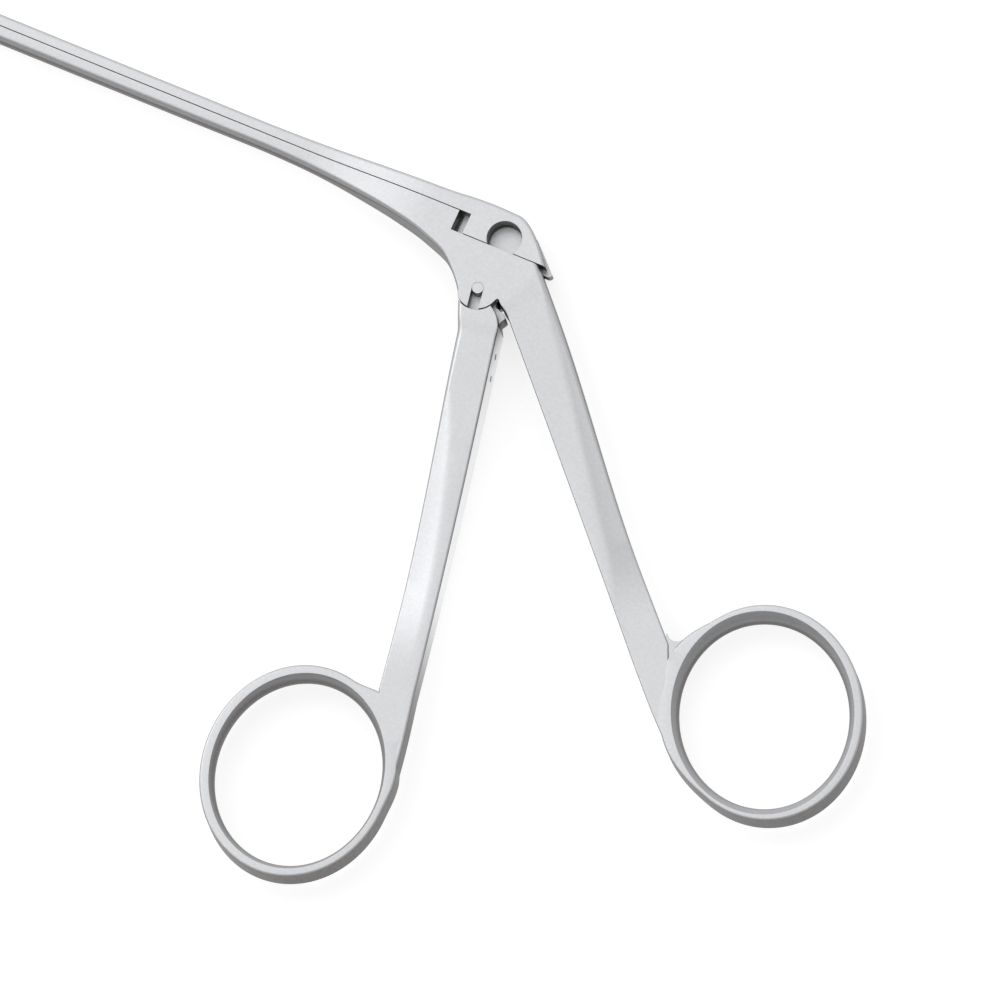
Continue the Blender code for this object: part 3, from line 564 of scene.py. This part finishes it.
def lower_bar():
    """Stations back along the lower bar, from the fixed jaw's tip to the end of its flare."""
    x = tip_places()
    share = jaw_share(x)
    half = SHAFT_HALF * share
    top = np.stack((x, np.full_like(x, SEAM + TRIM)), axis=1)
    bottom = np.stack((x, JAW_LINE - CUP_DEPTH * share), axis=1)
    jaw = stations(top, bottom, half, 0.0, 0.0, SMALL_ROUND, SMALL_ROUND,
                   CUP_ROUND * CUP_DEPTH * share, CUP_SIDE_ROUND * half)
    x = np.concatenate((np.linspace(JAW_ROOT, FLARE_START, 18)[:-1],
                        np.linspace(FLARE_START, FLARE_END, 50)))
    drop = FLARE_DEPTH * through((x - FLARE_START) / (FLARE_END - FLARE_START),
                                 (-4.0, -0.3, 0.0, 0.295, 0.537, 0.775, 0.914, 1.0),
                                 (0.0, 0.0, 0.0, 0.106, 0.285, 0.545, 0.782, 1.0))
    wide = ramp(x, WIDEN_START, WIDEN_END)
    top = np.stack((x, np.full_like(x, SEAM + TRIM)), axis=1)
    bottom = np.stack((x, BAR_BOTTOM - drop), axis=1)
    bar = stations(top, bottom, shaft_half(x), 0.0, 0.0, SMALL_ROUND, SMALL_ROUND,
                   BAR_ROUND[0] - FLARE_ROUND_LESS[0] * wide,
                   BAR_ROUND[1] - FLARE_ROUND_LESS[1] * wide)
    return np.concatenate((jaw, bar))


def joint_block():
    """Stations that fan round the block, from the flare past the boss to the rear handle."""
    above = SEAM + TRIM
    outer_edge = REAR_INNER + 6.0
    throat = stations([(-7.0, above), (-5.5, above), (-4.2, above), (-3.1, above)],
                      [(-6.13, 2.55), (-4.33, 1.05), (-3.0, -0.35), (-2.3, -1.3)],
                      BLOCK_HALF, 0.0, 0.0, OUTER_ROUND, OUTER_ROUND, THROAT_ROUND, THROAT_ROUND)
    boss = arc((0.0, 0.0), BOSS_RADIUS, 228, 334, 28)
    top = np.linspace(-2.3, 4.0, len(boss))
    over = np.stack((top, above - 0.35 * (top + 2.3)), axis=1)
    round_boss = stations(over, boss, BLOCK_HALF, 0.0, 0.0,
                          OUTER_ROUND, OUTER_ROUND, BOSS_ROUND, BOSS_ROUND)
    crotch = stations([along(REAR_ANGLE, -1.6, outer_edge), along(REAR_ANGLE, 0.8, outer_edge)],
                      [(2.85, -0.45), along(REAR_ANGLE, 3.2, 2.0)],
                      BLOCK_HALF, 0.0, 0.0, OUTER_ROUND, OUTER_ROUND, BOSS_ROUND, BOSS_ROUND)
    return np.concatenate((throat, round_boss, crotch))


def handle(angle, inner_edge, draw_in, widths, length, past, out, facets, start,
           rounding_in=SMALL_ROUND):
    """Stations down a handle, from below its top to where it sinks into its ring.

    Over the last stretch the facet flattens out and the thinning eases off, by t + t * t - t ** 3,
    so that the handle's face runs on into the ring's.
    """
    distance = np.linspace(start, length + SINK_SHARE * past, 150)
    share = np.clip(distance / length, 0.0, 1.0)
    beyond = np.clip(distance - length, 0.0, None)
    width = through(share, (0.0, 0.12, 0.75, 1.0), (widths[0], widths[0], widths[1], widths[2]))
    width = width - SINK_TAPER * beyond
    facet = width * through(share, *facets)
    slope = FACET_SLOPE * (1 - ramp(distance, length - FACET_FADE[0], length - FACET_FADE[1]))
    rounding = through(share, (0.0, 0.5, 1.0), (OUTER_ROUND, 0.4, SMALL_ROUND))
    last = np.clip((share - EASE_FROM) / EASE_OVER, 0.0, 1.0)
    thinning = np.minimum(share, EASE_FROM) + EASE_OVER * (last + last ** 2 - last ** 3)
    half = BLOCK_HALF + (RING_HALF - FACE_STEP - BLOCK_HALF) * thinning
    sunk = (beyond / (SINK_SHARE * past)) ** 3
    edge = inner_edge + out * (draw_in * share ** 3 + SINK_DRAW * sunk)
    outer = along(angle, distance, edge + out * width)
    inner = along(angle, distance, edge)
    return stations(outer, inner, half, facet, slope, rounding, rounding, rounding_in, rounding_in)


def finger_ring(name, centre, angle, reach, band, bulge, shift, towards, flare, join, fill):
    """Finger ring: a flat-faced band with a full inner wall, carried round an ellipse.

    Round the ring the middle line turns with the ellipse's own angle.  The outer edge swells by
    flare where it meets its handle and by fill in the notch.  The inner wall stands in by a
    parabola of the height, and the outer edges are quarter circles.
    """
    turn = np.linspace(0.0, 2 * math.pi, 320, endpoint=False)
    degrees = np.degrees(turn)
    long_axis = np.array((math.cos(angle), math.sin(angle)))
    short_axis = towards * np.array((-math.sin(angle), math.cos(angle)))
    ends, sides = np.cos(turn)[:, None], np.sin(turn)[:, None]
    normal = reach[1] * ends * long_axis + reach[0] * sides * short_axis
    normal = normal / np.linalg.norm(normal, axis=1)[:, None]
    swell = flare * ramp(degrees, *join) * (1 - ramp(degrees, *SWELL_END))
    swell = swell + fill * ramp(degrees, *NOTCH_RISE) * (1 - ramp(degrees, *NOTCH_FALL))
    outer = centre + reach[0] * ends * long_axis + reach[1] * sides * short_axis
    outer = outer + swell[:, None] * normal
    inner = centre + shift * short_axis + (reach[0] - band[0]) * ends * long_axis
    inner = inner + (reach[1] - band[1]) * sides * short_axis
    full = (bulge[0] + (bulge[1] - bulge[0]) * sides ** 2)[:, None]
    covered = ramp(degrees, join[1] - COVER_LEAD[0], join[1] + COVER_LEAD[1])
    covered = covered * (1 - ramp(degrees, *COVER_END))
    edge = (RING_ROUND - COVERED_ROUND_LESS * covered)[:, None, None]
    lift = np.linspace(0.0, math.pi / 2, 7)[None, :, None]
    rim = outer[:, None, :] - edge * (1 - np.cos(lift)) * normal[:, None, :]
    rim_z = (RING_HALF - edge * (1 - np.sin(lift)))[..., 0]
    t = np.linspace(1.0, -1.0, 19)[None, :, None]
    wall = inner[:, None, :] - full * (1 - t * t) * normal[:, None, :]
    wall_z = np.broadcast_to(t[..., 0] * RING_HALF, (len(turn), 19))
    plan = np.concatenate((rim, wall, rim[:, ::-1]), axis=1)
    z = np.concatenate((rim_z, wall_z, -rim_z[:, ::-1]), axis=1)
    return skin(name, np.concatenate((plan, z[..., None]), axis=2), closed=True)


# A low web with a rounded upper edge fills the notch between the handle and its ring.
NOTCH_HALF = 1.75
NOTCH_WEB = [(40.97, -32.13), (41.66, -32.67), (42.29, -32.74), (42.91, -32.48), (43.42, -31.94),
             (43.81, -31.17), (44.1, -32.0), (42.9, -34.6), (42.2, -35.6), (41.3, -34.0)]
REAR_FACETS = ((0.0, 0.275, 0.65, 0.75, 0.84, 1.0), (0.10, 0.25, 0.57, 0.68, 0.83, 0.95))
rear = handle(REAR_ANGLE, REAR_INNER, draw_in=-0.15, widths=(6.0, 4.8, 5.05), length=REAR_LENGTH,
              past=REAR_PAST, out=1, facets=REAR_FACETS, start=5.0)
body = skin("fixed_body_steel", forged(refine(np.concatenate((lower_bar(), joint_block(), rear)))))
rear_ring = finger_ring("rear_ring", along(REAR_ANGLE, REAR_LENGTH + REAR_PAST, 15.83),
                        math.radians(-58.5), reach=(14.33, 12.53), band=(0.83, 0.78),
                        bulge=(1.2, 0.85), shift=0.33, towards=-1, flare=1.0455, join=(45, 90),
                        fill=1.3)
combine(body, 'UNION', [rear_ring, prism("notch_web", NOTCH_WEB, -NOTCH_HALF, NOTCH_HALF)])

WALL = BLOCK_HALF + TRIM
pin_down = np.array((math.sin(SLOT_LEAN), -math.cos(SLOT_LEAN)))
pin_across = np.array((math.cos(SLOT_LEAN), math.sin(SLOT_LEAN)))
slot_foot = (BOSS_RADIUS + TRIM) * pin_down
slot_outline = [-PIN_SLOT * pin_across, slot_foot - PIN_SLOT * pin_across,
                slot_foot + PIN_SLOT * pin_across, PIN_SLOT * pin_across]
heel_fan = np.concatenate(([(0.0, 0.0)], arc((0.0, 0.0), HEEL_REACH + RUN_GAP, -62, -6, 30)))
cup_middle = ((JAW_TIP + JAW_ROOT) / 2, JAW_LINE)
cup_radii = ((JAW_ROOT - JAW_TIP) / 2 - CUP_WALL, CUP_DEPTH - CUP_WALL, SHAFT_HALF - CUP_WALL)
KEY_X = JAW_PIVOT[0] + 10.5
KEY_LENGTH = 6.0
KEY_TOP = SEAM + RUN_GAP / 2 - 0.75
KEY_FLOOR = KEY_TOP - 0.35
KEY_SLACK = 0.12
KEY_NECK_SLOT = 0.62
KEY_HEAD_SLOT = 1.02
JAW_PIN_BORE = 0.43
key_room = (KEY_X - STROKE - 2 * RUN_GAP, KEY_X + 2 * KEY_LENGTH + 2 * RUN_GAP)
cut(body, [
    slab("bar_top", (-FAR, FAR), (SEAM - SEAM_GAP / 2, FAR), WALL),
    slab("seat", (STEP_X, FAR), (SEAT - SEAM_GAP / 2, FAR), WALL),
    slab("jaw_line", (-FAR, JAW_ROOT + 3 * RUN_GAP), (JAW_LINE - RUN_GAP / 2, FAR), WALL),
    slab("jaw_fork", (JAW_ROOT, JAW_PIVOT[0] + 2.0), (0.0, FAR), HEEL_HALF + RUN_GAP),
    drum("jaw_pin_bore", JAW_PIVOT, JAW_PIN_BORE, WALL, 48),
    egg("lower_cup", cup_middle, cup_radii),
    slab("key_neck_slot", key_room, (KEY_FLOOR - KEY_SLACK, FAR), KEY_NECK_SLOT),
    slab("key_head_slot", key_room, (KEY_FLOOR - KEY_SLACK, KEY_TOP + KEY_SLACK), KEY_HEAD_SLOT),
    slab("key_entry", (KEY_X + KEY_LENGTH + RUN_GAP, key_room[1]), (KEY_FLOOR - KEY_SLACK, FAR),
         KEY_HEAD_SLOT),
    slab("rail_slot", (-7.0 - STROKE - RUN_GAP, FAR), (RAIL_BOTTOM - RUN_GAP, FAR),
         WEB_HALF + RUN_GAP),
    slab("neck_slot", (KNUCKLE[0] - STROKE - NECK_WIDTH, KNUCKLE[0] + NECK_WIDTH), (0.0, FAR),
         WEB_HALF + RUN_GAP),
    drum("tongue_pocket", (0.0, 0.0), TONGUE_RADIUS + 2 * RUN_GAP, TONGUE_HALF + RUN_GAP),
    prism("heel_pocket", heel_fan, -TONGUE_HALF - RUN_GAP, TONGUE_HALF + RUN_GAP),
    drum("pin_seat", (0.0, 0.0), PIN_SLOT, WALL, 64),
    prism("pin_slot", slot_outline, -WALL, WALL),
])
body_steel = satin_steel("satin_forging", BODY_FACE, BODY_WALL_PAINTED_SHADE)
finish(body, body_steel, "root", "body_steel", "fixed_body")

# Slider: the upper shaft bar with its rear block, milled from one forging.  A web-thick rail under
# the block runs in the body's slot, and a T-shaped key near the jaws keeps the bar down.
STEP_GAP = 1.6
WINDOW_RADIUS = 2.29
JAW_ARM = 1.75
JAW_OPEN = 2 * math.asin(STROKE / 2 / JAW_ARM)
LINK = (JAW_PIVOT[0] + STROKE / 2, JAW_PIVOT[1] + JAW_ARM * (1 + math.cos(JAW_OPEN / 2)) / 2)
NOSE_X = LINK[0] - 1.1
RAIL_FRONT = -5.95
SLIDER_REAR = 1.15
SLIDER_ROUND = 0.45
KEY_NECK_HALF = 0.5
KEY_HEAD_HALF = 0.9
LINK_PIN_BORE = 0.33
SLIDER_FACE = (0.62, 0.63, 0.645)
# Painted shade for the slider's side walls.
SLIDER_WALL_PAINTED_SHADE = (0.19, 0.185, 0.182)


def slider_bar():
    """Stations back along the slider and round its rear corner."""
    x = np.concatenate((np.linspace(NOSE_X, FLARE_START, 16)[:-1],
                        np.linspace(FLARE_START, SLIDER_REAR, 56)))
    rise = through((x - FLARE_START) / (SLIDER_REAR - FLARE_START),
                   (-4.0, -0.3, 0.0, 0.234, 0.41, 0.586, 0.732, 0.835, 0.917, 1.0),
                   (0.0, 0.0, 0.0, 0.18, 0.37, 0.52, 0.67, 0.95, 1.0, 0.87))
    top = np.stack((x, BAR_TOP + (BLOCK_TOP - BAR_TOP) * rise), axis=1)
    foot = np.stack((x, np.full_like(x, RAIL_BOTTOM)), axis=1)
    bar = stations(top, foot, shaft_half(x), 0.0, 0.0,
                   SLIDER_ROUND, SLIDER_ROUND, SMALL_ROUND, SMALL_ROUND)
    corner = stations([(2.8, BLOCK_TOP - 0.9), (4.19, BLOCK_TOP - 2.07), (5.61, BLOCK_TOP - 3.57),
                       (6.75, BLOCK_TOP - 4.98), (7.45, BLOCK_TOP - 5.73)],
                      [(x, RAIL_BOTTOM - TRIM) for x in (2.4, 3.5, 4.6, 5.6, 6.3)],
                      BLOCK_HALF, 0.0, 0.0,
                      SLIDER_ROUND, SLIDER_ROUND, SMALL_ROUND, SMALL_ROUND)
    return np.concatenate((bar, corner))


slider = skin("slider_steel", forged(refine(slider_bar())))
cut(slider, [
    slab("seam", (-FAR, STEP_X + STEP_GAP), (0.0, SEAM + SEAM_GAP / 2), WALL),
    slab("seat", (-FAR, FAR), (0.0, SEAT + SEAM_GAP / 2), WALL),
])
neck_side = NECK_WIDTH / 2 + 0.6
lug_top = BLOCK_TOP - 1.78
lug = [(KNUCKLE[0] + neck_side, RAIL_BOTTOM), (7.15, RAIL_BOTTOM),
       *arc((7.15, RAIL_BOTTOM + 0.5), 0.5, -75, 0, 10),
       (4.0, lug_top), (KNUCKLE[0] + neck_side, lug_top)]
combine(slider, 'UNION', [
    slab("front_rail", (RAIL_FRONT, KNUCKLE[0] - neck_side), (RAIL_BOTTOM, BAR_TOP - RUN_GAP),
         WEB_HALF),
    prism("rear_rail", lug, -WEB_HALF, WEB_HALF),
    slab("key_neck", (KEY_X, KEY_X + KEY_LENGTH), (KEY_TOP - 0.2, SEAM + TRIM / 2), KEY_NECK_HALF),
    slab("key_head", (KEY_X, KEY_X + KEY_LENGTH), (KEY_FLOOR, KEY_TOP), KEY_HEAD_HALF),
])
cut(slider, [
    drum("window", KNUCKLE, WINDOW_RADIUS, WALL),
    slab("fork", (NOSE_X - TRIM, LINK[0] + 2.0), (0.0, FAR), HEEL_HALF + RUN_GAP),
    drum("link_bore", LINK, LINK_PIN_BORE, WALL, 48),
])
finish(slider, satin_steel("satin_slider", SLIDER_FACE, SLIDER_WALL_PAINTED_SHADE), "slider", "slider_steel",
       "slider")

# Front handle: one forging with its finger ring.  Its tongue turns in the block's pocket, and a
# thin neck carries a round knuckle up into the slider's window.  The side towards the other handle
# bears two small punch marks, and its wall is painted near white, a painted highlight that fades
# out towards the ring.
FRONT_ANGLE = math.radians(-77.65)
FRONT_INNER = 3.63
FRONT_LENGTH = 54.0
FRONT_PAST = 12.32
FRONT_FACETS = ((0.0, 0.19, 0.36, 0.555, 0.79, 1.0), (0.0, 0.02, 0.34, 0.57, 0.71, 0.70))
FRONT_ROUND = 0.3
SHOULDER_ROUND = 0.5
SHOULDER_GAP = 0.12
PUNCH_PLACES = (7.8, 10.75)
PUNCH_RADII = (0.45, 0.45, 0.5)
PUNCH_LIFT = 0.12
# Where the painted highlight lies on the front handle's inner side wall, and where it fades out.
HIGHLIGHT_FACING = 0.96
HIGHLIGHT_SIDE = 2.2
HIGHLIGHT_TOP = 4.5
HIGHLIGHT_FADE = (38.0, 59.0)

shoulder = stations([(-1.78, -2.3), (-1.55, -2.8), (-1.3, -3.4), (-0.98, -4.15)],
                    [(2.4, -1.42), (3.1, -1.85), (3.8, -2.5), (4.38, -3.38)],
                    BLOCK_HALF, 0.0, 0.0,
                    SHOULDER_ROUND, SHOULDER_ROUND, SMALL_ROUND, SMALL_ROUND)
front = handle(FRONT_ANGLE, FRONT_INNER, draw_in=0.7, widths=(5.1, 4.55, 4.6),
               length=FRONT_LENGTH, past=FRONT_PAST, out=-1, facets=FRONT_FACETS, start=6.0,
               rounding_in=FRONT_ROUND)
front_handle = skin("front_handle_steel", forged(refine(np.concatenate((shoulder, front)))))
front_ring = finger_ring("front_ring", along(FRONT_ANGLE, FRONT_LENGTH + FRONT_PAST, -9.91),
                         math.radians(-80.0), reach=(14.085, 12.315), band=(1.085, 1.085),
                         bulge=(0.8, 0.55), shift=0.13, towards=1, flare=0.507, join=(78, 100),
                         fill=2.55)
combine(front_handle, 'UNION', [front_ring])
cut(front_handle, [drum("shoulder_seat", (0.0, 0.0), BOSS_RADIUS + SHOULDER_GAP, WALL, 160)])
heel = arc((0.0, 0.0), HEEL_REACH, -33, -24, 6)
tongue = np.concatenate((arc((0.0, 0.0), TONGUE_RADIUS, 0, 222, 60),
                         [(-1.0, -3.6), (-0.4, -5.4), (4.1, -4.9)],
                         heel, [(4.3, -1.68), (2.85, -1.13)]))
neck_across = np.array((KNUCKLE[1], -KNUCKLE[0])) / np.linalg.norm(KNUCKLE) * NECK_WIDTH / 2
neck = [0.12 * KNUCKLE - neck_across, 0.12 * KNUCKLE + neck_across,
        KNUCKLE + neck_across, KNUCKLE - neck_across]
combine(front_handle, 'UNION', [
    prism("tongue", tongue, -TONGUE_HALF, TONGUE_HALF),
    prism("neck", neck, -WEB_HALF, WEB_HALF),
    drum("knuckle", KNUCKLE, WINDOW_RADIUS - RUN_GAP, WEB_HALF),
])
punches = [drum("pin_bore", (0.0, 0.0), PIN_SLOT, WALL, 64)]
for number, distance in enumerate(PUNCH_PLACES):
    spot = along(FRONT_ANGLE, distance, FRONT_INNER + PUNCH_LIFT)
    punches.append(egg("punch_%d" % number, spot, PUNCH_RADII))
cut(front_handle, punches)
mesh = front_handle.data
spots = np.empty(3 * len(mesh.polygons))
facing = np.empty(3 * len(mesh.polygons))
mesh.polygons.foreach_get("center", spots)
mesh.polygons.foreach_get("normal", facing)
spots = (spots.reshape(-1, 3) - PIVOT) / MM
down = np.array((math.cos(FRONT_ANGLE), math.sin(FRONT_ANGLE), 0.0))
inward = np.array((-math.sin(FRONT_ANGLE), math.cos(FRONT_ANGLE), 0.0))
reach = spots @ down
# Painted highlight: mark the side wall facing the other handle for near white, fading downwards.
bright = facing.reshape(-1, 3) @ inward > HIGHLIGHT_FACING
bright = bright & (spots @ inward > HIGHLIGHT_SIDE) & (reach > HIGHLIGHT_TOP)
painted_highlight = mesh.attributes.new("painted_highlight", 'FLOAT', 'FACE')
painted_highlight.data.foreach_set("value", (bright * (1 - ramp(reach, *HIGHLIGHT_FADE))).astype(np.float32))
finish(front_handle, satin_steel("satin_handle", BODY_FACE, BODY_WALL_PAINTED_SHADE), "front_handle",
       "handle_steel", "front_handle")

# Upper jaw: a small ground cup that shuts on the fixed one.  Its heel turns on the jaw pin between
# the bar's two cheeks, and the slider's link pin pushes the heel's upper end.
HEEL_RADIUS = 0.8
ROOT_RADIUS = 0.5
HEEL_BORE = 0.45
JAW_FACE = (0.64, 0.65, 0.665)
# Painted shade for the jaw's side walls.
JAW_WALL_PAINTED_SHADE = (0.26, 0.257, 0.255)


def jaw_shell():
    """Stations back along the jaw, drawn shut, from its tip to its root."""
    x = np.concatenate((tip_places(), [JAW_ROOT]))
    share = jaw_share(x)
    half = SHAFT_HALF * share
    top = np.stack((x, JAW_LINE + CUP_DEPTH * share), axis=1)
    foot = np.stack((x, np.full_like(x, JAW_LINE - TRIM)), axis=1)
    return stations(top, foot, half, 0.0, 0.0, CUP_ROUND * CUP_DEPTH * share,
                    CUP_SIDE_ROUND * half, SMALL_ROUND, SMALL_ROUND)


upper_jaw = skin("upper_jaw_steel", forged(jaw_shell()))
cut(upper_jaw, [
    slab("jaw_line", (-FAR, FAR), (0.0, JAW_LINE + RUN_GAP / 2), WALL),
    egg("upper_cup", cup_middle, cup_radii),
])
shut_link = (JAW_PIVOT[0] - STROKE / 2, JAW_PIVOT[1] + JAW_ARM * math.cos(JAW_OPEN / 2))
root = (JAW_ROOT - 0.1, JAW_LINE + CUP_DEPTH / 2)
rounds = ((JAW_PIVOT, HEEL_RADIUS), (shut_link, HEEL_RADIUS), (root, ROOT_RADIUS))
rim = np.concatenate([arc(centre, radius, 0, 354, 60) for centre, radius in rounds])
heel_outline = rim[convex_hull_2d(rim.tolist())]
combine(upper_jaw, 'UNION', [prism("heel", heel_outline, -HEEL_HALF, HEEL_HALF)])
cut(upper_jaw, [
    drum("pivot_bore", JAW_PIVOT, HEEL_BORE, WALL, 48),
    drum("link_bore", shut_link, HEEL_BORE, WALL, 48),
])
jaw_axis = Matrix.Translation(hinges["jaw_hinge"]["pos_m"])
upper_jaw.data.transform(jaw_axis @ Matrix.Rotation(-JAW_OPEN, 4, 'Z') @ jaw_axis.inverted())
finish(upper_jaw, satin_steel("satin_jaw", JAW_FACE, JAW_WALL_PAINTED_SHADE), "upper_jaw", "jaw_steel",
       "upper_jaw")

# Pins: turned from rod, pressed home and ground flush with the faces round them, with a fine
# broken edge at each end.
PIN_EDGE = 0.02
HANDLE_PIN_ROOM = 0.008
JAW_PIN_RADIUS = 0.42
LINK_PIN_RADIUS = 0.32
PIN_FACE = (0.61, 0.62, 0.635)
# Painted shade for the pins' side walls.
PIN_WALL_PAINTED_SHADE = (0.24, 0.238, 0.236)
PIN_GRAIN = 0.5


def turned_pin(name, centre, radius, half, count=64):
    """Pin about an upright axis: its radius is full between two small cones at its ends."""
    turn = np.linspace(0.0, 2 * math.pi, count, endpoint=False)[None, :]
    radii = np.array((radius - PIN_EDGE, radius, radius, radius - PIN_EDGE))[:, None]
    heights = np.array((-half, PIN_EDGE - half, half - PIN_EDGE, half))[:, None]
    x = centre[0] + radii * np.cos(turn)
    y = centre[1] + radii * np.sin(turn)
    return skin(name, np.stack((x, y, np.broadcast_to(heights, x.shape)), axis=-1))


pin_steel = satin_steel("ground_pin", PIN_FACE, PIN_WALL_PAINTED_SHADE, PIN_GRAIN)
handle_pin = turned_pin("handle_pin_steel", (0.0, 0.0), PIN_SLOT - HANDLE_PIN_ROOM, BLOCK_HALF)
finish(handle_pin, pin_steel, "front_handle", "pin_steel", "handle_pivot_pin")
jaw_pin = turned_pin("jaw_pin_steel", JAW_PIVOT, JAW_PIN_RADIUS, SHAFT_HALF)
finish(jaw_pin, pin_steel, "root", "pin_steel", "jaw_pivot_pin")
link_pin = turned_pin("link_pin_steel", LINK, LINK_PIN_RADIUS, SHAFT_HALF)
finish(link_pin, pin_steel, "slider", "pin_steel", "jaw_link_pin")
